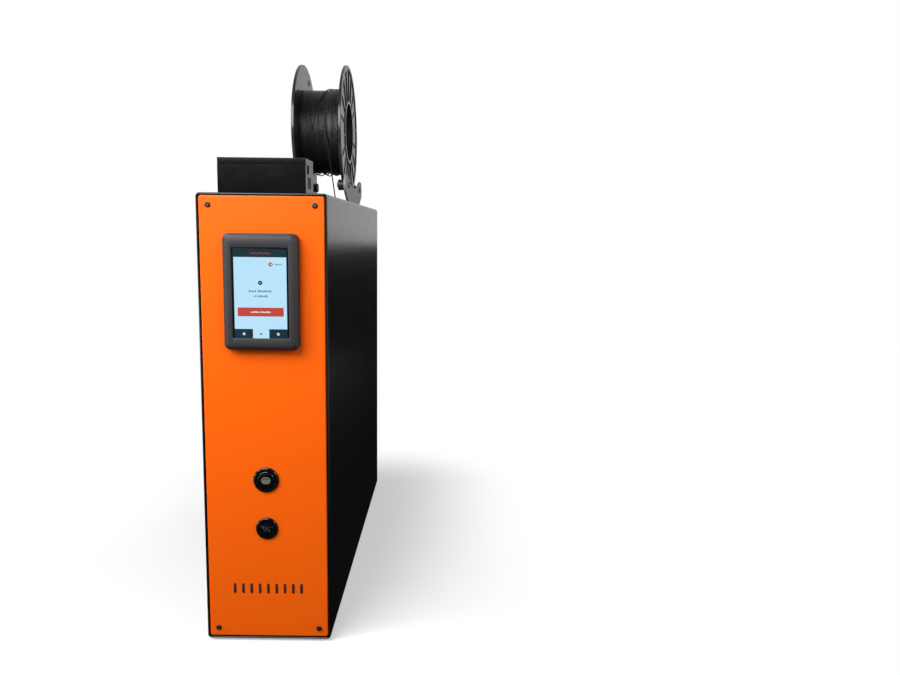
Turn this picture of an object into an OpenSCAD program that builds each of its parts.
// In-line filament dryer: a slim casing with a touch screen and two push buttons in
// front, a feeder on top, and a spool that turns on a roller cradle at the back.
// X runs to the right, Y away from the front, Z up. The origin is at the bottom centre.

/* [Casing] */
// Width across the casing's sides
casing_w = 140; // [136:1:160]
// Height of the casing above its feet
casing_h = 501; // [495:1:540]
// Depth of the casing from its front plane to its back
casing_d = 575; // [570:1:620]
// Thickness of the folded steel sheet
sheet_t = 1.5; // [1:0.25:2]
// Outer radius of the casing's long edges
edge_r = 4; // [3:0.5:6]
// Depth of the separate frame at the front
frame_d = 12; // [10:1:16]
// Width of the flanges that the front and rear panels lie on
flange_w = 16; // [15:1:20]
// Height of the feet
foot_h = 3; // [2:0.5:6]
// Radius of the feet
foot_r = 9; // [7:1:12]

/* [Front panel] */
// Gap between the front panel's edge and the frame
panel_gap = 1.5; // [0.5:0.25:2]
// Thickness of the front and rear panels
panel_t = 2; // [1.5:0.25:3]
// Distance of the panel screws from the casing's outer faces
screw_inset = 13; // [12:0.5:14]
// Radius of the panel screws' heads
screw_head_r = 3; // [2.5:0.25:3.5]
// Radius of the panel screws' shanks
screw_r = 1.5; // [1:0.25:2]

/* [Screen] */
// Width of the screen's bezel
screen_w = 80; // [76:1:90]
// Height of the screen's bezel
screen_h = 125; // [121:1:140]
// How far the screen stands out of the front panel
screen_proud = 12; // [10:0.5:16]
// Distance of the screen's centre below the casing's top
screen_drop = 105; // [94:1:124]
// Width of the window in the bezel
window_w = 60; // [54:1:62]
// Height of the window in the bezel
window_h = 98; // [90:1:100]
// Thickness of the screen's glass
glass_t = 2; // [1:0.25:2.5]

/* [Buttons] */
// Height of the upper button above the floor
upper_button_z = 190; // [180:1:210]
// Height of the lower button above the floor
lower_button_z = 134; // [110:1:145]
// Outer radius of the upper button's ring
upper_ring_r = 14.25; // [13.5:0.25:16]
// Outer radius of the lower button's ring
lower_ring_r = 12.5; // [12:0.25:13.5]
// How far a button's ring stands out of the front panel
ring_proud = 2.5; // [2:0.25:4]
// Travel of a button's cap
button_travel = 2; // [1:0.25:2.5]

/* [Drying chamber] */
// Thickness of the insulation round the chamber
jacket_t = 9; // [7:0.5:10]
// Height of the chamber's floor above the floor that the dryer stands on
chamber_z = 120; // [115:1:130]
// Thickness of the chamber's walls
chamber_wall = 1.2; // [1:0.1:2]
// Depth of the bay between the insulation and the exhaust fan
rear_bay_d = 57; // [45:1:62]
// Radius at which the filament runs round a drum
drum_path_r = 25; // [22:0.5:26]
// Length of a drum
drum_len = 50; // [44:1:54]
// Distance of the upper drums' axis below the chamber's lid
upper_drum_drop = 47.5; // [38:0.5:70]
// Height of the lower drums' axis above the underside of the chamber
lower_drum_rise = 64; // [50:1:90]
// Radius of the drums' shafts
drum_shaft_r = 3; // [2.5:0.25:4]

/* [Feeder] */
// Width of the interface box on the casing's top
box_w = 94; // [90:1:110]
// Depth of the interface box
box_d = 45; // [42:1:50]
// Height of the interface box
box_h = 37; // [36:1:44]
// Height of the interface box's lid
lid_h = 7; // [5:0.5:9]
// Depth of the lower feeder block behind the interface box
block_d = 32; // [31:1:40]
// Height of the feeder block
block_h = 24.5; // [24:0.5:28]
// Radius of the feed knob
knob_r = 5; // [4:0.25:6]
// How far the feed knob stands out of the block
knob_proud = 3; // [2.5:0.5:7]
// Radius of the hobbed drive wheel
hob_r = 4.6; // [4.2:0.1:5]
// Radius of the bore that takes the outlet tube
tube_bore_r = 2.05; // [1.55:0.05:2.1]

/* [Spool] */
// Radius of the spool's flanges
flange_r = 100; // [95:1:104]
// Width of the spool over its flanges
spool_w = 72; // [66:1:74]
// How far the spool sits to the right of the casing's middle
spool_x = 5; // [0:0.5:6]
// Thickness of a flange
flange_t = 4.5; // [4:0.5:5]
// Radius of the opening through the spool's core
hub_r = 43; // [36:0.5:44]
// Radial wall of the spool's core
core_t = 4.5; // [3:0.5:5]
// Outer radius of the filament on the spool
windings_r = 65; // [58:0.5:65.5]
// Diameter of the filament
filament_d = 1.75; // [1.5:0.05:1.8]
// Number of radial ribs on a flange
rib_count = 20; // [16:1:24]

/* [Cradle] */
// Distance of the spool's axis in front of the casing's back plane
spool_setback = 155; // [151:1:160]
// Thickness of the cradle's plates
plate_t = 3; // [2:0.5:4]
// Radius of the rollers
roller_r = 8; // [7:0.5:9]
// Distance of each roller from the spool's axis, front to back
roller_reach = 68; // [62:1:70]
// Height of the rollers' axes above the casing's top
roller_rise = 29.5; // [28:0.5:31]
// Radius of the rollers' axles
axle_r = 2; // [1.5:0.25:2.5]

/* [Rear] */
// Width and height of each fan's frame
fan_w = 60; // [60:1:64]
// Depth of each fan
fan_t = 25; // [22:1:26]
// Distance of the exhaust fan's centre below the casing's top
exhaust_drop = 84; // [64:1:120]
// Height of the mains inlet's centre above the floor
inlet_z = 72; // [70:1:90]
// How far the mains inlet's flange and the fan guard stand out at the back
rear_reach = 3; // [2.5:0.5:5]

/* [Hidden] */
$fn = 64;

// Clearances
slip = 0.05;      // radial clearance of running and sliding fits
air = 0.3;        // gap between faces that pass each other
seat_gap = 0.1;   // gap round a piece that slips into another

// Main planes
total_d = screen_proud + casing_d + rear_reach;
front_y = screen_proud - total_d / 2;
base_z = foot_h;
top_z = foot_h + casing_h;
mid_z = base_z + casing_h / 2;
inner_w = casing_w - 2 * sheet_t;
inner_h = casing_h - 2 * sheet_t;
floor_z = base_z + sheet_t;
roof_z = top_z - sheet_t;
panel_w = inner_w - 2 * panel_gap;
panel_h = inner_h - 2 * panel_gap;
panel_r = 3;
rear_flange_d = casing_d - panel_t - sheet_t;
screw_x = casing_w / 2 - screw_inset;
screw_zs = [base_z + screw_inset, top_z - screw_inset];
screw_len = 10;
screw_head_h = 1.6;
foot_inset_x = 20;
foot_inset_d = 30;
screen_z = top_z - screen_drop;
exhaust_z = top_z - exhaust_drop;
exhaust_d = casing_d - panel_t - fan_t;
spool_d = casing_d - spool_setback;

function at(d) = front_y + d;

// Chamber
jacket_air = 1;
chamber_w = inner_w - 2 * (jacket_t + jacket_air);
chamber_in_w = chamber_w - 2 * chamber_wall;
lid_t = 2;
lid_air = 4;
lid_z = roof_z - lid_air - jacket_t - lid_t;
filament_r = filament_d / 2;
feed_d = 66.5;
inlet_reach = 58;
inlet_d = spool_d - inlet_reach;
inlet_x = 27;
chamber_front = feed_d - 10.5;
chamber_rear = exhaust_d - rear_bay_d - jacket_t;
drum_front_d = feed_d + drum_path_r;
drum_rear_d = inlet_d - drum_path_r;
drum_x = inlet_x / 2;
drum_rim = 1;
drum_r = drum_path_r + drum_rim;
upper_drum_z = lid_z - upper_drum_drop;
lower_drum_z = chamber_z + lower_drum_rise;
drum_turns = 4;
boss_len = 4;
tray_t = 1.5;
tray_lip = 12;
tray_front = frame_d + 10;
tray_rear = rear_flange_d - 6;
post_w = 12;
deck_z = floor_z + tray_t;

// Boards and supplies in the lower bay
supply_w = 99;
supply_l = 200;
supply_h = 42;
supply_d = chamber_front + 34;
board_l = 130;
board_w = 100;
board_t = 1.6;
board_d = supply_d + supply_l + 20;
standoff_h = 10;
standoff_r = 3;
standoff_inset = 6;

// Feeder
box_front = 4;
box_wall = 2;
block_front = box_front + box_d;
block_rear = block_front + block_d;
block_w = box_w - 2;
block_lid_t = 2;
shaft_d = feed_d + filament_r + hob_r;
shaft_z = top_z + 9.5;
shaft_r = 2;
knob_cap = 1;
idler_r = 4;
idler_pin_r = 1.5;
idler_d = feed_d - filament_r - idler_r;
idler_half = 2;
arm_t = 2.7;
arm_r = 2.6;
pivot_d = idler_d - 4;
pivot_z = shaft_z + 8;
motor_r = 6;
motor_x = -12;
motor_len = block_w / 2 - box_wall + motor_x;
coupling_r = 3.4;
hob_half = 4;
spout_r = 3.2;
spout_bore_r = 1.2;
spout_top = top_z + box_wall + 1;
port_d = box_front + 13.7;
port_z = top_z + 25.5;
port_w = 3.5;
port_h = 8;

// Gland
gland_r = 6;
gland_bore_r = 2.1;
gland_top = top_z + 10;
gland_bottom = lid_z - 2;

// Cradle and spool
plate_x = 45;
plate_outer = plate_x + plate_t;
roller_z = top_z + roller_rise;
contact_r = flange_r + roller_r + air;
core_half = spool_w / 2 - flange_t;
spool_z = roller_z + sqrt(contact_r * contact_r - roller_reach * roller_reach);
cradle_base = 60;
lobe_r = 14;
lobe_reach = 90;
lobe_rise = 29;
saddle_sag = 15;
saddle_half = 80;
saddle_r = (saddle_half * saddle_half + saddle_sag * saddle_sag) / (2 * saddle_sag);
plate_h = lobe_rise + lobe_r;
foot_strip = 14;
roller_grip = 4;
roller_out = plate_x - air;
axle_head_t = 1.5;
axle_nut_r = 4.5;
axle_nut_t = 2.5;
cradle_screw_reach = 36;
cradle_screw_x = plate_x - foot_strip / 2;
foot_tab = 11;
cradle_screw_r = 2;
cradle_screw_head_r = 3.5;

// Route of the filament strand: right of centre, behind the front plane, above the floor
strand_route = [
    [13.3, 357, 638.5], [13.4, 354.6, 628.5], [13.5, 353.75, 617.8], [15.1, 354.55, 605],
    [17, 355.75, 590], [19.5, 357.25, 570], [22.5, 359.15, 545], [25, 360.7, 525],
    [27, 362, 508], [27, 362, 478]
];
strand_sides = 8;
strand_steps = 4;

// ---- Shapes that repeat ----

// Rounded rectangle, centred
module rounded(w, h, r) {
    square([w - 2 * r, h], center = true);
    square([w, h - 2 * r], center = true);
    for (sx = [-1, 1], sy = [-1, 1])
        translate([sx * (w / 2 - r), sy * (h / 2 - r)]) circle(r);
}

// Extrudes an outline drawn in X and Z from one depth to another
module through_y(d0, d1) {
    translate([0, at(d1), 0]) rotate([90, 0, 0]) linear_extrude(d1 - d0) children();
}

// Extrudes an outline drawn in Y and Z from one X to another
module through_x(x0, x1) {
    translate([x0, 0, 0]) rotate([90, 0, 90]) linear_extrude(x1 - x0) children();
}

module block(x0, x1, d0, d1, z0, z1) {
    translate([x0, at(d0), z0]) cube([x1 - x0, d1 - d0, z1 - z0]);
}

module rod_x(x0, x1, d, z, r) {
    translate([x0, at(d), z]) rotate([0, 90, 0]) cylinder(r = r, h = x1 - x0);
}

module rod_y(x, z, d0, d1, r) {
    translate([x, at(d0), z]) rotate([-90, 0, 0]) cylinder(r = r, h = d1 - d0);
}

module rod_z(x, d, z0, z1, r) {
    translate([x, at(d), z0]) cylinder(r = r, h = z1 - z0);
}

// Places children at the four screws of a panel
module at_screws() {
    for (sx = [-1, 1], z = screw_zs) translate([sx * screw_x, 0, z]) children();
}

// ---- Casing ----

module section(w, h, r) {
    translate([0, mid_z]) rounded(w, h, r);
}

module sleeve(d0, d1) {
    through_y(d0, d1) difference() {
        section(casing_w, casing_h, edge_r);
        section(inner_w, inner_h, max(edge_r - sheet_t, 0.5));
    }
}

module flange_ring(d0) {
    through_y(d0, d0 + sheet_t) difference() {
        section(inner_w + sheet_t, inner_h + sheet_t, edge_r - sheet_t / 2);
        section(inner_w - 2 * flange_w, inner_h - 2 * flange_w, 4);
        at_screws_2d() circle(screw_r + slip);
    }
}

module at_screws_2d() {
    for (sx = [-1, 1], z = screw_zs) translate([sx * screw_x, z]) children();
}

module casing() {
    color([0.10, 0.10, 0.11]) difference() {
        union() {
            sleeve(frame_d + air, casing_d);
            flange_ring(rear_flange_d);
        }
        rod_z(inlet_x, inlet_d, roof_z - 1, top_z + 1, gland_r + seat_gap);
        rod_z(0, feed_d, roof_z - 1, top_z + 1, spout_r + seat_gap);
        at_cradle_screws() cylinder(r = cradle_screw_r + slip, h = 20, center = true);
    }
}

module front_frame() {
    spigot_w = inner_w - 2 * seat_gap;
    spigot_h = inner_h - 2 * seat_gap;
    spigot_r = max(edge_r - sheet_t, 0.5);
    color([0.10, 0.10, 0.11]) {
        sleeve(0, frame_d);
        flange_ring(panel_t);
        through_y(panel_t + sheet_t / 2, frame_d + 8) difference() {
            section(spigot_w, spigot_h, spigot_r);
            section(spigot_w - 3, spigot_h - 3, spigot_r);
        }
        through_y(panel_t + sheet_t / 2, frame_d) difference() {
            section(inner_w + 1, inner_h + 1, edge_r - 1);
            section(inner_w - 3, inner_h - 3, spigot_r);
        }
    }
}

module front_panel() {
    color([0.95, 0.36, 0.10]) through_y(0, panel_t) difference() {
        section(panel_w, panel_h, panel_r);
        at_screws_2d() circle(screw_r + seat_gap);
        translate([0, screen_z]) circle(8);
        translate([0, upper_button_z]) circle(barrel_r(upper_ring_r) + seat_gap);
        translate([0, lower_button_z]) circle(barrel_r(lower_ring_r) + seat_gap);
    }
}

module panel_screws() {
    color([0.08, 0.08, 0.08]) {
        at_screws() {
            rod_y(0, 0, -screw_head_h, 0, screw_head_r);
            rod_y(0, 0, 0, screw_len, screw_r);
        }
        at_screws() {
            rod_y(0, 0, casing_d, casing_d + screw_head_h, screw_head_r);
            rod_y(0, 0, casing_d - screw_len, casing_d, screw_r);
        }
    }
}

module rear_panel() {
    slot_w = 3;
    slot_h = 40;
    slot_pitch = 6;
    slots = 6;
    slots_x = 15;
    color([0.12, 0.12, 0.13]) through_y(casing_d - panel_t, casing_d) difference() {
        section(panel_w, panel_h, panel_r);
        at_screws_2d() circle(screw_r + seat_gap);
        translate([0, exhaust_z]) circle(fan_bore_r);
        translate([inlet_x0, inlet_z])
            square([inlet_body_w + 2 * seat_gap, inlet_body_h + 2 * seat_gap], center = true);
        for (i = [0 : slots - 1])
            translate([slots_x + i * slot_pitch, inlet_z]) rounded(slot_w, slot_h, slot_w / 2 - 0.1);
    }
}

module feet() {
    color([0.05, 0.05, 0.05])
        for (sx = [-1, 1], d = [foot_inset_d, casing_d - foot_inset_d])
            rod_z(sx * (casing_w / 2 - foot_inset_x), d, 0, foot_h, foot_r);
}

module chassis_tray() {
    half = inner_w / 2 - max(edge_r - sheet_t, air);
    standoff_x = board_w / 2 - standoff_inset;
    color([0.62, 0.63, 0.65]) {
        block(-half, half, tray_front, tray_rear, floor_z, deck_z);
        for (sx = [-1, 1]) mirror([sx < 0 ? 1 : 0, 0, 0])
            block(half - tray_t, half, tray_front, tray_rear, floor_z, floor_z + tray_lip);
        for (sx = [-1, 1], d = [board_d + standoff_inset, board_d + board_l - standoff_inset])
            rod_z(sx * standoff_x, d, floor_z + tray_t / 2, deck_z + standoff_h, standoff_r);
    }
}

module chamber_posts() {
    reach = chamber_w / 2 - 2;
    color([0.62, 0.63, 0.65])
        for (sx = [-1, 1], d = [chamber_front + 6, chamber_rear - 6 - post_w])
            mirror([sx < 0 ? 1 : 0, 0, 0])
                block(reach - post_w, reach, d, d + post_w, deck_z, chamber_z);
}

// ---- Screen ----

pocket_w = screen_w - 10;
pocket_h = screen_h - 11;
lip_t = 2;

module screen_bezel() {
    chamfer = 3;
    corner = 7;
    color([0.24, 0.22, 0.21]) difference() {
        hull() {
            through_y(-screen_proud + chamfer, 0)
                translate([0, screen_z]) rounded(screen_w, screen_h, corner, $fn = 32);
            through_y(-screen_proud, -screen_proud + 1)
                translate([0, screen_z])
                    rounded(screen_w - 2 * chamfer, screen_h - 2 * chamfer, corner - chamfer, $fn = 32);
        }
        through_y(-screen_proud - 1, 0)
            translate([0, screen_z]) square([window_w, window_h], center = true);
        through_y(-screen_proud + lip_t, 1)
            translate([0, screen_z]) square([pocket_w, pocket_h], center = true);
    }
}

module screen_glass() {
    d0 = -screen_proud + lip_t;
    color([0.75, 0.88, 0.97]) through_y(d0, d0 + glass_t)
        translate([0, screen_z]) square([pocket_w - 2 * air, pocket_h - 2 * air], center = true);
}

module display_board() {
    d0 = -screen_proud + lip_t + glass_t;
    block_x = 20;
    block_size = [14, 40];
    plug_size = [10, 8];
    plug_reach = 6;
    color([0.05, 0.30, 0.15]) {
        through_y(d0, d0 + board_t)
            translate([0, screen_z]) square([pocket_w - 2, pocket_h - 2], center = true);
        for (sx = [-1, 1]) through_y(d0 + board_t, 0)
            translate([sx * block_x, screen_z]) square(block_size, center = true);
        through_y(d0 + board_t, panel_t + plug_reach)
            translate([0, screen_z]) square(plug_size, center = true);
    }
}

// ---- Buttons ----

barrel_len = 20;
switch_d = 7.5 + button_travel;
switch_body_l = 8;
switch_pin_l = 5;
switch_pin_r = 0.8;
switch_pin_x = 4;
flat_dome_r = 60;
flat_cap_proud = 0.6;
domed_dome_r = 18;
domed_cap_proud = 1.4;
function barrel_r(ring_r) = ring_r - 3;
function cap_r(ring_r) = ring_r - 4.25;

// Ring and threaded barrel of a button, at depth 0
module button_ring(ring_r) {
    difference() {
        union() {
            rod_y(0, 0, -ring_proud, 0, ring_r);
            rod_y(0, 0, 0, barrel_len, barrel_r(ring_r));
        }
        rod_y(0, 0, -ring_proud - 1, barrel_len + 1, cap_r(ring_r));
    }
}

module button_nut(ring_r) {
    across = barrel_r(ring_r) + 3;
    nut_t = 4;
    translate([0, at(panel_t), 0]) rotate([-90, 0, 0]) difference() {
        cylinder(r = across, h = nut_t, $fn = 6);
        translate([0, 0, -1]) cylinder(r = barrel_r(ring_r) + slip, h = nut_t + 2);
    }
}

module button_switch(ring_r) {
    rod_y(0, 0, switch_d, barrel_len, cap_r(ring_r));
    body_end = barrel_len + switch_body_l;
    rod_y(0, 0, barrel_len, body_end, barrel_r(ring_r));
    for (sx = [-1, 1]) rod_y(sx * switch_pin_x, 0, body_end, body_end + switch_pin_l, switch_pin_r);
}

// Cap with a domed face; a flat cap has a large dome radius
module button_cap(ring_r, dome_r, proud) {
    r = cap_r(ring_r) - slip;
    tip = -ring_proud - proud;
    intersection() {
        rod_y(0, 0, tip, switch_d - button_travel - 0.5, r);
        translate([0, at(tip) + dome_r, 0]) sphere(dome_r, $fn = 128);
    }
}

module button_rings() {
    color([0.03, 0.03, 0.03]) {
        translate([0, 0, upper_button_z]) button_ring(upper_ring_r);
        translate([0, 0, lower_button_z]) button_ring(lower_ring_r);
    }
}

module button_nuts() {
    color([0.75, 0.75, 0.77]) {
        translate([0, 0, upper_button_z]) button_nut(upper_ring_r);
        translate([0, 0, lower_button_z]) button_nut(lower_ring_r);
    }
}

module button_switches() {
    color([0.15, 0.15, 0.16]) {
        translate([0, 0, upper_button_z]) button_switch(upper_ring_r);
        translate([0, 0, lower_button_z]) button_switch(lower_ring_r);
    }
}

module upper_button_cap() {
    color([0.04, 0.04, 0.04]) translate([0, 0, upper_button_z])
        button_cap(upper_ring_r, flat_dome_r, flat_cap_proud);
}

module lower_button_cap() {
    color([0.04, 0.04, 0.04]) translate([0, 0, lower_button_z])
        button_cap(lower_ring_r, domed_dome_r, domed_cap_proud);
}

// ---- Drying chamber ----

module at_drums() {
    for (d = [drum_front_d, drum_rear_d], z = [upper_drum_z, lower_drum_z])
        translate([0, d, z]) children();
}

module chamber_shell() {
    half = chamber_w / 2;
    in_half = chamber_in_w / 2;
    color([0.72, 0.73, 0.74]) {
        difference() {
            block(-half, half, chamber_front, chamber_rear, chamber_z, lid_z);
            block(-in_half, in_half, chamber_front + chamber_wall, chamber_rear - chamber_wall,
                chamber_z + chamber_wall, lid_z + 1);
        }
        at_drums() for (sx = [-1, 1]) mirror([sx < 0 ? 1 : 0, 0, 0]) difference() {
            rod_x(in_half - boss_len, in_half + 0.5, 0, 0, drum_shaft_r + 4);
            rod_x(in_half - boss_len - 1, in_half, 0, 0, drum_shaft_r + slip);
        }
    }
}

module chamber_lid() {
    half = chamber_w / 2;
    color([0.70, 0.71, 0.72]) difference() {
        union() {
            block(-half, half, chamber_front, chamber_rear, lid_z, lid_z + lid_t);
            rod_z(0, feed_d, lid_z, spout_top, spout_r);
        }
        rod_z(0, feed_d, lid_z - 1, spout_top + 1, spout_bore_r);
        rod_z(inlet_x, inlet_d, lid_z - 1, lid_z + lid_t + 1, gland_r + seat_gap);
    }
}

module insulation() {
    half = chamber_w / 2 + jacket_t;
    in_half = chamber_w / 2;
    front = chamber_front - jacket_t;
    rear = chamber_rear + jacket_t;
    cap_z = lid_z + lid_t;
    color([0.86, 0.84, 0.78]) difference() {
        block(-half, half, front, rear, chamber_z, cap_z + jacket_t);
        block(-in_half, in_half, chamber_front, chamber_rear, chamber_z - 1, cap_z);
        rod_z(0, feed_d, cap_z - 1, cap_z + jacket_t + 1, spout_r + seat_gap);
        rod_z(inlet_x, inlet_d, cap_z - 1, cap_z + jacket_t + 1, gland_r + seat_gap);
    }
}

module drum_shafts() {
    in_half = chamber_in_w / 2;
    drum_low = drum_x - drum_len / 2;
    drum_high = drum_x + drum_len / 2;
    color([0.80, 0.80, 0.82]) at_drums() {
        rod_x(-in_half, in_half, 0, 0, drum_shaft_r);
        rod_x(-in_half + boss_len, drum_low - air, 0, 0, drum_shaft_r + 2);
        rod_x(drum_high + air, in_half - boss_len, 0, 0, drum_shaft_r + 2);
    }
}

// One grooved drum, at its own depth and height
module drum(d, z) {
    low = drum_x - drum_len / 2;
    high = drum_x + drum_len / 2;
    pocket = drum_len / 2 - 4;
    hub = drum_shaft_r + 4;
    groove_r = filament_r + 0.3;
    color([0.88, 0.88, 0.86]) difference() {
        rod_x(low, high, d, z, drum_r);
        rod_x(low - 1, high + 1, d, z, drum_shaft_r + slip);
        for (x0 = [low - 1, high - pocket]) difference() {
            rod_x(x0, x0 + pocket + 1, d, z, drum_path_r - 5);
            rod_x(x0 - 1, x0 + pocket + 2, d, z, hub);
        }
        for (i = [0 : drum_turns])
            translate([i * inlet_x / drum_turns, at(d), z]) rotate([0, 90, 0])
                rotate_extrude() translate([drum_path_r + 0.3, 0]) circle(groove_r, $fn = 24);
    }
}

module upper_rear_drum() {
    drum(drum_rear_d, upper_drum_z);
}

module lower_rear_drum() {
    drum(drum_rear_d, lower_drum_z);
}

module lower_front_drum() {
    drum(drum_front_d, lower_drum_z);
}

module upper_front_drum() {
    drum(drum_front_d, upper_drum_z);
}

heater_d = drum_front_d + 60;
heater_l = 120;
heater_w = 70;
heater_h = 18;

module heater_core() {
    fins = 12;
    fin_t = 1.5;
    z0 = chamber_z + chamber_wall;
    pitch = (heater_w - fin_t) / (fins - 1);
    color([0.75, 0.76, 0.78]) {
        block(-heater_w / 2, heater_w / 2, heater_d, heater_d + heater_l, z0, z0 + 4);
        for (i = [0 : fins - 1])
            block(-heater_w / 2 + i * pitch, -heater_w / 2 + i * pitch + fin_t,
                heater_d, heater_d + heater_l, z0 + 3.5, z0 + heater_h);
    }
}

// ---- Fans ----

fan_bore_r = fan_w / 2 - 1.5;
fan_hub_r = 12;
fan_pin_r = 1.5;
fan_plate_t = 3;
fan_rear_gap = 2;      // from the hub's end to the frame's open face
fan_cap_t = 1.5;       // closed end of the hub

// Square frame with a hub plate and a spindle; its hub plate is at depth d0
module fan_frame(x, z, d0) {
    through_y(d0, d0 + fan_t) translate([x, z]) difference() {
        rounded(fan_w, fan_w, 4);
        circle(fan_bore_r);
    }
    through_y(d0, d0 + fan_plate_t) translate([x, z]) {
        circle(fan_hub_r);
        for (a = [0, 90]) rotate(a) square([2 * fan_bore_r + 1, 4], center = true);
    }
    rod_y(x, z, d0 + fan_plate_t - 1, d0 + fan_t - fan_rear_gap - fan_cap_t - air, fan_pin_r);
}

module fan_rotor(x, z, d0) {
    blades = 7;
    hub_front = d0 + fan_plate_t + air;
    hub_rear = d0 + fan_t - fan_rear_gap;
    blade_mid = (hub_front + hub_rear) / 2;
    difference() {
        union() {
            rod_y(x, z, hub_front, hub_rear, fan_hub_r);
            intersection() {
                rod_y(x, z, hub_front + 1, hub_rear - 1, fan_bore_r - 1);
                for (i = [0 : blades - 1])
                    translate([x, at(blade_mid), z]) rotate([0, i * 360 / blades, 0])
                        rotate([0, 0, 35]) translate([0, 0, fan_bore_r / 2])
                            cube([1.6, 40, fan_bore_r], center = true);
            }
        }
        rod_y(x, z, hub_front - 1, hub_rear - fan_cap_t, fan_pin_r + slip);
    }
}

blower_rise = 165;
blower_z = chamber_z + blower_rise;
blower_d = chamber_rear - chamber_wall - fan_t;

module blower_housing() {
    color([0.10, 0.10, 0.10]) translate([0, 2 * at(blower_d + fan_t / 2), 0]) mirror([0, 1, 0])
        fan_frame(0, blower_z, blower_d);
}

module blower_impeller() {
    color([0.20, 0.20, 0.22]) translate([0, 2 * at(blower_d + fan_t / 2), 0]) mirror([0, 1, 0])
        fan_rotor(0, blower_z, blower_d);
}

module exhaust_fan_frame() {
    color([0.08, 0.08, 0.08]) fan_frame(0, exhaust_z, exhaust_d);
}

module exhaust_fan_rotor() {
    color([0.12, 0.12, 0.12]) fan_rotor(0, exhaust_z, exhaust_d);
}

module fan_guard() {
    wire = 1.6;
    ear = fan_w / 2 - 5;
    color([0.70, 0.70, 0.72]) through_y(casing_d, casing_d + rear_reach) translate([0, exhaust_z]) {
        for (r = [8 : 6 : fan_bore_r + 1.5]) difference() {
            circle(r);
            circle(r - wire);
        }
        for (a = [45, 135]) rotate(a) square([2 * ear * sqrt(2), wire], center = true);
        for (sx = [-1, 1], sz = [-1, 1]) translate([sx * ear, sz * ear]) circle(3.5);
    }
}

module desiccant_cartridge() {
    w = 80;
    d = 50;
    h = 110;
    rear_gap = 15;
    d0 = blower_d - rear_gap - d;
    z0 = chamber_z + chamber_wall;
    hole_r = 3;
    pitch = 12;
    grip_half = 10;
    color([0.92, 0.92, 0.90]) difference() {
        block(-w / 2, w / 2, d0, d0 + d, z0, z0 + h);
        for (i = [-2 : 2], k = [1 : 8])
            rod_y(i * pitch, z0 + k * pitch, d0 - 1, d0 + 3, hole_r);
        block(-grip_half, grip_half, d0 + d / 2 - grip_half / 2, d0 + d / 2 + grip_half / 2,
            z0 + h - 3, z0 + h + 1);
    }
}

// ---- Electrics ----

module power_supply() {
    half = supply_w / 2;
    top = deck_z + supply_h;
    wall = 1.5;
    vents = 8;
    vent_r = 4;
    vent_pitch = 19;
    vent_row = 24;
    vent_d = supply_d + 40;
    terminal_l = 16;
    terminal_h = 14;
    core_half = 24;
    core_inset = 70;
    core_d = supply_d + core_inset;
    core_l = 46;
    core_h = 30;
    color([0.78, 0.79, 0.80]) {
        difference() {
            block(-half, half, supply_d, supply_d + supply_l, deck_z, top);
            block(-half + wall, half - wall, supply_d + terminal_l + wall, supply_d + supply_l - wall,
                deck_z + wall, top - wall);
            block(-half + wall, half - wall, supply_d - 1, supply_d + terminal_l,
                deck_z + terminal_h, top + 1);
            for (i = [0 : vents - 1], k = [-1 : 1])
                rod_z(k * vent_row, vent_d + i * vent_pitch, top - wall - 1, top + 1, vent_r);
        }
        block(-core_half, core_half, core_d, core_d + core_l, deck_z + wall / 2, deck_z + core_h);
    }
}

// A component given by its left, near and lower faces and its size
module slab(x, d, z, w, l, h) {
    block(x, x + w, d, d + l, z, z + h);
}

module control_board() {
    z0 = deck_z + standoff_h;
    z1 = z0 + board_t;
    root_z = z1 - board_t / 4;
    terminals = 5;
    terminal_w = 12;
    terminal_l = 10;
    terminal_h = 10;
    terminal_pitch = 17;
    terminal_inset = 2;
    terminal_x = -(terminals - 1) / 2 * terminal_pitch - terminal_w / 2;
    capacitors = 4;
    capacitor_r = 7;
    capacitor_h = 20;
    capacitor_pitch = 22;
    capacitor_x = 2 * capacitor_r - board_w / 2;
    capacitor_d = board_d + 34;
    chip_w = 24;
    chip_t = 3;
    chip_x = -8;
    chip_d = board_d + 2 * chip_w;
    sink_w = 16;
    sink_l = 70;
    sink_h = 24;
    sink_x = 24;
    sink_inset = 30;
    color([0.05, 0.32, 0.18]) {
        block(-board_w / 2, board_w / 2, board_d, board_d + board_l, z0, z1);
        for (i = [0 : terminals - 1])
            slab(terminal_x + i * terminal_pitch, board_d + terminal_inset, root_z,
                terminal_w, terminal_l, terminal_h);
        for (i = [0 : capacitors - 1])
            rod_z(capacitor_x, capacitor_d + i * capacitor_pitch, root_z, z1 + capacitor_h, capacitor_r);
        slab(chip_x, chip_d, root_z, chip_w, chip_w, chip_t);
        slab(sink_x, board_d + sink_inset, root_z, sink_w, sink_l, sink_h);
    }
}

inlet_x0 = -28;
inlet_body_w = 38;
inlet_body_h = 52;
inlet_body_d = 28;
socket_z = inlet_z - 11;
rocker_z = inlet_z + 14;
rocker_d = casing_d - 3;
rocker_pin_r = 1.2;
rocker_half = 10;
rocker_w = 12;
rocker_tilt = 7;
socket_depth = 16;

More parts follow.
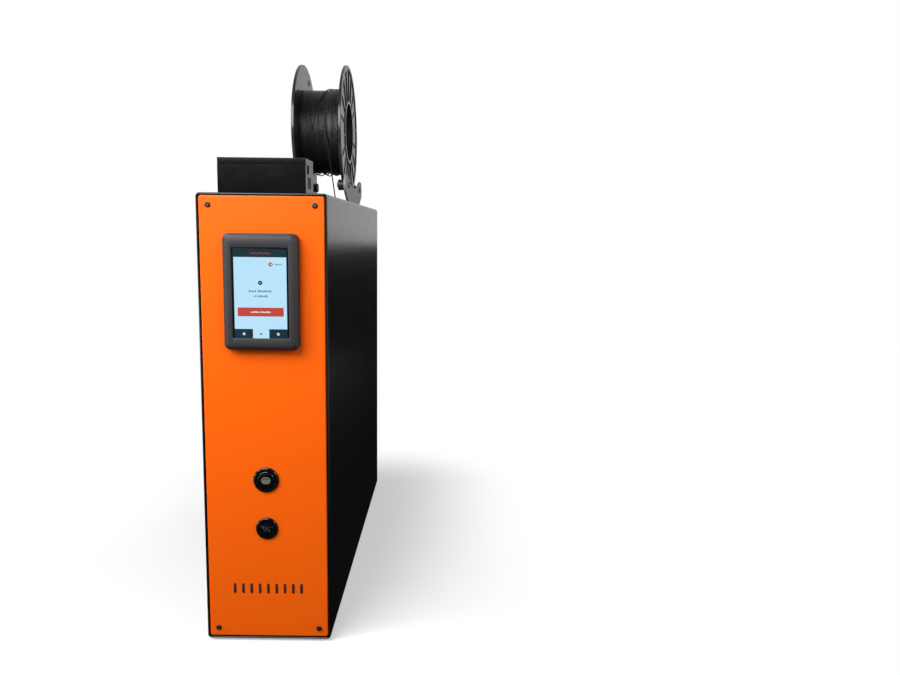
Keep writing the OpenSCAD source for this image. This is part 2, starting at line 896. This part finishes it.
module mains_inlet() {
    pin_len = 12;
    socket_w = 24;
    socket_h = 16;
    socket_floor = casing_d + rear_reach - socket_depth;
    rocker_well = 5;
    pin_hole = rocker_w / 2 + 2;
    color([0.04, 0.04, 0.04]) difference() {
        union() {
            through_y(casing_d, casing_d + rear_reach)
                translate([inlet_x0, inlet_z]) rounded(inlet_body_w + 8, inlet_body_h + 8, 3);
            through_y(casing_d - inlet_body_d, casing_d)
                translate([inlet_x0, inlet_z]) square([inlet_body_w, inlet_body_h], center = true);
        }
        through_y(socket_floor, casing_d + rear_reach + 1)
            translate([inlet_x0, socket_z]) rounded(socket_w, socket_h, 2.5);
        through_y(rocker_d - rocker_well, casing_d + rear_reach + 1)
            translate([inlet_x0, rocker_z])
                square([rocker_w + 2 * air, 2 * (rocker_half + 2 * air)], center = true);
        rod_x(inlet_x0 - pin_hole, inlet_x0 + pin_hole, rocker_d, rocker_z, rocker_pin_r + slip);
    }
    color([0.80, 0.78, 0.70]) for (p = [[-7, 1.5], [0, -3.5], [7, 1.5]])
        through_y(socket_floor - 0.5, socket_floor + pin_len)
            translate([inlet_x0 + p[0], socket_z + p[1]]) square([2, 4], center = true);
}

module rocker_switch() {
    crest = 4.2;
    dip = 2.6;
    pin_half = rocker_w / 2 + 1.6;
    outline = [
        [-dip, -rocker_half], [-dip, rocker_half], [crest, rocker_half], [dip, 0], [crest, -rocker_half]
    ];
    color([0.75, 0.08, 0.06]) translate([inlet_x0, at(rocker_d), rocker_z]) rotate([-rocker_tilt, 0, 0]) {
        through_x(-rocker_w / 2, rocker_w / 2) polygon(outline);
        through_x(-pin_half, pin_half) circle(rocker_pin_r);
    }
}

// ---- Interface box and feeder ----

lid_split = top_z + box_h - lid_h;
boss_top = top_z + 8;

module interface_housing() {
    half = box_w / 2;
    vent_w = 1.2;
    vent_h = 12;
    vent_pitch = 3.2;
    vent_d = port_d + 3;
    color([0.09, 0.09, 0.10]) difference() {
        union() {
            difference() {
                block(-half, half, box_front, block_front, top_z, lid_split);
                block(-half + box_wall, half - box_wall, box_front + box_wall, block_front - box_wall,
                    top_z + box_wall, lid_split + 1);
            }
            for (sx = [-1, 1], d = [box_front + 8, block_front - 8])
                rod_z(sx * (half - 10), d, top_z + 1, boss_top, 2.5);
        }
        block(half - box_wall - 1, half + 1, port_d - port_w / 2, port_d + port_w / 2,
            port_z - port_h / 2, port_z + port_h / 2);
        for (i = [-1 : 1], d = [vent_d + i * vent_pitch])
            block(half - box_wall - 1, half + 1, d - vent_w / 2, d + vent_w / 2,
                top_z + vent_h / 2, top_z + 1.5 * vent_h);
    }
}

module interface_lid() {
    half = box_w / 2;
    lip = box_wall + seat_gap;
    lip_in = lip + 2;
    lip_h = 2;
    notch = 8;
    color([0.09, 0.09, 0.10]) {
        block(-half, half, box_front, block_front, lid_split, lid_split + lid_h);
        difference() {
            block(-half + lip, half - lip, box_front + lip, block_front - lip,
                lid_split - lip_h, lid_split + 0.5);
            block(-half + lip_in, half - lip_in, box_front + lip_in, block_front - lip_in,
                lid_split - lip_h - 1, lid_split);
            block(half - lip_in - 1, half, port_d - notch, port_d + notch,
                lid_split - lip_h - 1, lid_split);
        }
    }
}

module interface_board() {
    half = box_w / 2;
    margin = 2 * box_wall;
    riser_x = half - box_wall - 3;
    z1 = boss_top + board_t;
    root_z = z1 - board_t / 4;
    chip_w = 24;
    chip_l = 18;
    chip_t = 3;
    chip_x = -20;
    chip_inset = 14;
    riser_half = 5;
    port_in_w = port_w / 2 - air;
    port_in_h = port_h / 2 - air;
    color([0.05, 0.30, 0.16]) {
        block(-half + margin, half - margin, box_front + margin, block_front - margin, boss_top, z1);
        slab(chip_x, box_front + chip_inset, root_z, chip_w, chip_l, chip_t);
        block(riser_x, riser_x + board_t, port_d - riser_half, port_d + riser_half,
            root_z, port_z + port_in_h);
    }
    color([0.75, 0.75, 0.76])
        block(riser_x + board_t - 0.1, half - box_wall + 1, port_d - port_in_w, port_d + port_in_w,
            port_z - port_in_h, port_z + port_in_h);
}

block_lid_z = top_z + block_h - block_lid_t;
shaft_wall_x = block_w / 2;

module feeder_housing() {
    half = block_w / 2;
    lug_x = idler_half + air + arm_t + air;
    color([0.10, 0.10, 0.11]) difference() {
        union() {
            difference() {
                block(-half, half, block_front, block_rear, top_z, block_lid_z);
                block(-half + box_wall, half - box_wall, block_front + box_wall, block_rear - box_wall,
                    top_z + box_wall, block_lid_z + 1);
            }
            block(lug_x, lug_x + 3, block_front + 1, pivot_d + 3, pivot_z - 3, block_lid_z);
            block(motor_x - motor_len, motor_x - 4, block_front + 1, shaft_d, top_z + 1, shaft_z - motor_r);
        }
        rod_z(0, feed_d, top_z - 1, top_z + box_wall + 1, spout_r + seat_gap);
        rod_x(half - box_wall - 1, half + 1, shaft_d, shaft_z, shaft_r + slip);
        rod_x(lug_x - 1, lug_x + 4, pivot_d, pivot_z, idler_pin_r + slip);
    }
}

module feeder_cover() {
    half = block_w / 2;
    lip = box_wall + seat_gap;
    lip_t = 1.5;
    color([0.10, 0.10, 0.11]) difference() {
        union() {
            block(-half, half, block_front, block_rear, block_lid_z, block_lid_z + block_lid_t);
            block(-half + lip, motor_x, block_rear - lip - lip_t, block_rear - lip,
                block_lid_z - lip_t, block_lid_z + 0.5);
        }
        rod_z(0, feed_d, block_lid_z - 3, block_lid_z + block_lid_t + 1, fitting_r + seat_gap);
    }
}

module feeder_motor() {
    gearbox_len = 9;
    color([0.70, 0.68, 0.62]) {
        difference() {
            rod_x(motor_x - motor_len, motor_x - gearbox_len + 0.5, shaft_d, shaft_z, motor_r);
            rod_x(motor_x - motor_len - 1, motor_x - motor_len + 1, shaft_d, shaft_z, 2);
        }
        block(motor_x - gearbox_len, motor_x, shaft_d - 5, shaft_d + 5, shaft_z - motor_r, shaft_z + motor_r);
        rod_x(motor_x - 1, motor_x + 6, shaft_d, shaft_z, idler_pin_r);
    }
}

module drive_shaft() {
    color([0.80, 0.66, 0.30]) difference() {
        union() {
            rod_x(motor_x + air, -hob_half + 0.5, shaft_d, shaft_z, coupling_r);
            rod_x(-hob_half, hob_half, shaft_d, shaft_z, hob_r);
            rod_x(hob_half - 0.5, shaft_wall_x + knob_proud - knob_cap, shaft_d, shaft_z, shaft_r);
        }
        rod_x(motor_x - 1, motor_x + 7, shaft_d, shaft_z, idler_pin_r + slip);
        translate([0, at(shaft_d), shaft_z]) rotate([0, 90, 0])
            rotate_extrude() translate([hob_r + filament_r, 0]) circle(filament_r + 0.3, $fn = 24);
    }
}

module feed_knob() {
    color([0.05, 0.05, 0.05]) difference() {
        rod_x(shaft_wall_x + air, shaft_wall_x + knob_proud, shaft_d, shaft_z, knob_r);
        rod_x(shaft_wall_x, shaft_wall_x + knob_proud - knob_cap, shaft_d, shaft_z, shaft_r);
    }
}

// Link between two round ends, drawn in Y and Z
module link_2d(d0, z0, d1, z1, r) {
    run = norm([d1 - d0, z1 - z0]);
    translate([at(d0), z0]) circle(r);
    translate([at(d1), z1]) circle(r);
    translate([at(d0), z0]) rotate(atan2(z1 - z0, d1 - d0)) translate([0, -r]) square([run, 2 * r]);
}

module idler_arm() {
    x0 = idler_half + air;
    color([0.25, 0.26, 0.28]) {
        through_x(x0, x0 + arm_t) link_2d(pivot_d, pivot_z, idler_d, shaft_z, arm_r);
        rod_x(-idler_half, x0 + 0.5, idler_d, shaft_z, idler_pin_r);
        rod_x(x0 + arm_t - 0.5, x0 + arm_t + 4, pivot_d, pivot_z, idler_pin_r);
    }
}

module idler_bearing() {
    color([0.82, 0.82, 0.84]) difference() {
        rod_x(-idler_half, idler_half, idler_d, shaft_z, idler_r);
        rod_x(-idler_half - 1, idler_half + 1, idler_d, shaft_z, idler_pin_r + slip);
    }
}

fitting_r = 3;
fitting_low = block_lid_z - 4;
fitting_top = top_z + block_h + 11;

module outlet_fitting() {
    color([0.10, 0.10, 0.10]) difference() {
        union() {
            rod_z(0, feed_d, fitting_low, block_lid_z + block_lid_t + 0.5, fitting_r);
            translate([0, at(feed_d), block_lid_z + block_lid_t]) cylinder(r = 6, h = 6, $fn = 6);
            rod_z(0, feed_d, block_lid_z + block_lid_t + 5, fitting_top - 2, 4.5);
            rod_z(0, feed_d, fitting_top - 3, fitting_top, 5);
        }
        rod_z(0, feed_d, fitting_low - 1, fitting_top + 1, tube_bore_r);
    }
}

module inlet_gland() {
    color([0.06, 0.06, 0.06]) difference() {
        union() {
            rod_z(inlet_x, inlet_d, gland_bottom, top_z + 0.5, gland_r);
            rod_z(inlet_x, inlet_d, top_z, top_z + 3, gland_r + 3);
            rod_z(inlet_x, inlet_d, top_z + 2.5, gland_top, gland_r - 1);
        }
        rod_z(inlet_x, inlet_d, gland_bottom - 1, gland_top + 1, gland_bore_r);
        translate([inlet_x, at(inlet_d), gland_top - 2])
            cylinder(r1 = gland_bore_r, r2 = gland_r - 2, h = 2.01);
    }
}

// ---- Cradle ----

module at_cradle_screws() {
    for (sx = [-1, 1], sy = [-1, 1])
        translate([sx * cradle_screw_x, at(spool_d) + sy * cradle_screw_reach, roof_z]) children();
}

// Outline of a cradle plate in Y and Z
module cradle_outline() {
    translate([at(spool_d), top_z]) difference() {
        hull() {
            translate([-cradle_base, 0]) square([2 * cradle_base, 1]);
            for (s = [-1, 1]) translate([s * lobe_reach, lobe_rise]) circle(lobe_r, $fn = 96);
        }
        translate([0, plate_h - saddle_sag + saddle_r]) circle(saddle_r, $fn = 180);
    }
}

module cradle_plate() {
    difference() {
        union() {
            through_x(plate_x, plate_outer) cradle_outline();
            for (s = [-1, 1])
                translate([plate_x - foot_strip, at(spool_d) + s * cradle_screw_reach - foot_tab, top_z])
                    cube([foot_strip + 0.5, 2 * foot_tab, plate_t]);
        }
        for (s = [-1, 1], d = [spool_d + s * roller_reach])
            rod_x(plate_x - 1, plate_outer + 1, d, roller_z, axle_r + slip);
        for (s = [-1, 1]) translate([cradle_screw_x, at(spool_d) + s * cradle_screw_reach, top_z - 1])
            cylinder(r = cradle_screw_r + slip, h = plate_t + 2);
    }
}

module cradle_plate_right() {
    color([0.50, 0.50, 0.49]) cradle_plate();
}

module cradle_plate_left() {
    color([0.50, 0.50, 0.49]) mirror([1, 0, 0]) cradle_plate();
}

module cradle_screws() {
    color([0.12, 0.12, 0.12]) at_cradle_screws() {
        translate([0, 0, sheet_t + plate_t]) cylinder(r = cradle_screw_head_r, h = 2.2);
        translate([0, 0, -2]) cylinder(r = cradle_screw_r, h = sheet_t + plate_t + 2.5);
    }
}

module roller_axles() {
    color([0.12, 0.12, 0.12]) for (side = [-1, 1], s = [-1, 1]) mirror([side < 0 ? 1 : 0, 0, 0]) {
        d = spool_d + s * roller_reach;
        inner = roller_in(side) - air;
        rod_x(inner - axle_head_t, inner, d, roller_z, axle_r + 1.5);
        rod_x(inner - 0.5, plate_outer + 0.5, d, roller_z, axle_r);
        rod_x(plate_outer, plate_outer + axle_nut_t, d, roller_z, axle_nut_r);
    }
}

// Inner end of the rollers on one side, just inside the spool's flange
function roller_in(side) = core_half + side * spool_x - roller_grip;

// One roller: side is 1 for right and -1 for left, place is 1 for rear and -1 for front
module roller(side, place) {
    d = spool_d + place * roller_reach;
    color([0.06, 0.06, 0.06]) mirror([side < 0 ? 1 : 0, 0, 0]) difference() {
        union() {
            rod_x(roller_in(side), roller_out - 3, d, roller_z, roller_r);
            rod_x(roller_out - 3.5, roller_out, d, roller_z, roller_r - 2);
        }
        rod_x(roller_in(side) - 1, roller_out + 1, d, roller_z, axle_r + slip);
    }
}

module front_left_roller() {
    roller(-1, -1);
}

module front_right_roller() {
    roller(1, -1);
}

module rear_left_roller() {
    roller(-1, 1);
}

module rear_right_roller() {
    roller(1, 1);
}

// ---- Spool ----

core_r = hub_r + core_t;
rim_w = 6;
web_t = 1.8;
rib_t = 2;

// Right flange: a thin web on the inside, with a rim, a hub ring and radial ribs outside
module spool_flange() {
    color([0.10, 0.10, 0.11]) translate([core_half, at(spool_d), spool_z]) rotate([0, 90, 0]) {
        linear_extrude(web_t) difference() {
            circle(flange_r, $fn = 180);
            circle(hub_r, $fn = 96);
        }
        linear_extrude(flange_t) {
            difference() {
                circle(flange_r, $fn = 180);
                circle(flange_r - rim_w, $fn = 180);
            }
            difference() {
                circle(core_r, $fn = 96);
                circle(hub_r, $fn = 96);
            }
            for (i = [0 : rib_count - 1]) rotate((i + 0.5) * 360 / rib_count)
                translate([core_r - 1, -rib_t / 2]) square([flange_r - rim_w - core_r + 2, rib_t]);
        }
    }
}

module spool_flange_right() {
    translate([spool_x, 0, 0]) spool_flange();
}

module spool_flange_left() {
    translate([spool_x, 0, 0]) mirror([1, 0, 0]) spool_flange();
}

module tube_x(half, r0, r1) {
    translate([spool_x - half, at(spool_d), spool_z]) rotate([0, 90, 0]) difference() {
        cylinder(r = r1, h = 2 * half, $fn = 96);
        translate([0, 0, -1]) cylinder(r = r0, h = 2 * half + 2, $fn = 96);
    }
}

module spool_core() {
    color([0.10, 0.10, 0.11]) tube_x(core_half, hub_r, core_r);
}

module windings() {
    color([0.05, 0.05, 0.05]) tube_x(core_half - air, core_r, windings_r);
}

// ---- Filament strand ----

function spline(a, b, c, d, t) =
    0.5 * (2 * b + (c - a) * t + (2 * a - 5 * b + 4 * c - d) * t * t + (3 * b - a - 3 * c + d) * t * t * t);

function route_point(p, i, t) =
    spline(p[max(i - 1, 0)], p[i], p[i + 1], p[min(i + 2, len(p) - 1)], t);

function smooth_route(p, steps) = [
    for (i = [0 : len(p) - 2], k = [0 : steps - 1]) route_point(p, i, k / steps),
    p[len(p) - 1]
];

// Ring of points round the route at one place, across the strand's own direction
function ring(p, i, r, sides) =
    let (
        ahead = p[min(i + 1, len(p) - 1)] - p[max(i - 1, 0)],
        along = ahead / norm(ahead),
        side = cross(along, [1, 0, 0]) / norm(cross(along, [1, 0, 0])),
        across = cross(side, along)
    )
    [for (k = [0 : sides - 1]) p[i] + r * (cos(k * 360 / sides) * across + sin(k * 360 / sides) * side)];

module swept_tube(p, r, sides) {
    rings = [for (i = [0 : len(p) - 1]) each ring(p, i, r, sides)];
    last = (len(p) - 1) * sides;
    walls = [
        for (i = [0 : len(p) - 2], k = [0 : sides - 1])
            let (a = i * sides + k, b = i * sides + (k + 1) % sides)
            [a, b, b + sides, a + sides]
    ];
    start = [for (k = [sides - 1 : -1 : 0]) k];
    end = [for (k = [0 : sides - 1]) last + k];
    polyhedron(points = rings, faces = concat(walls, [start, end]), convexity = 4);
}

module filament_strand() {
    path = smooth_route([for (q = strand_route) [q[0], at(q[1]), q[2]]], strand_steps);
    color([0.05, 0.05, 0.05]) swept_tube(path, filament_r, strand_sides);
}

casing();
front_frame();
front_panel();
panel_screws();
rear_panel();
feet();
chassis_tray();
chamber_posts();
screen_bezel();
screen_glass();
display_board();
button_rings();
button_nuts();
button_switches();
upper_button_cap();
lower_button_cap();
chamber_shell();
chamber_lid();
insulation();
drum_shafts();
upper_rear_drum();
lower_rear_drum();
lower_front_drum();
upper_front_drum();
heater_core();
blower_housing();
blower_impeller();
desiccant_cartridge();
power_supply();
control_board();
mains_inlet();
rocker_switch();
exhaust_fan_frame();
exhaust_fan_rotor();
fan_guard();
interface_housing();
interface_lid();
interface_board();
feeder_housing();
feeder_cover();
feeder_motor();
drive_shaft();
feed_knob();
idler_arm();
idler_bearing();
outlet_fitting();
inlet_gland();
cradle_plate_left();
cradle_plate_right();
cradle_screws();
roller_axles();
front_left_roller();
front_right_roller();
rear_left_roller();
rear_right_roller();
spool_flange_left();
spool_flange_right();
spool_core();
windings();
filament_strand();
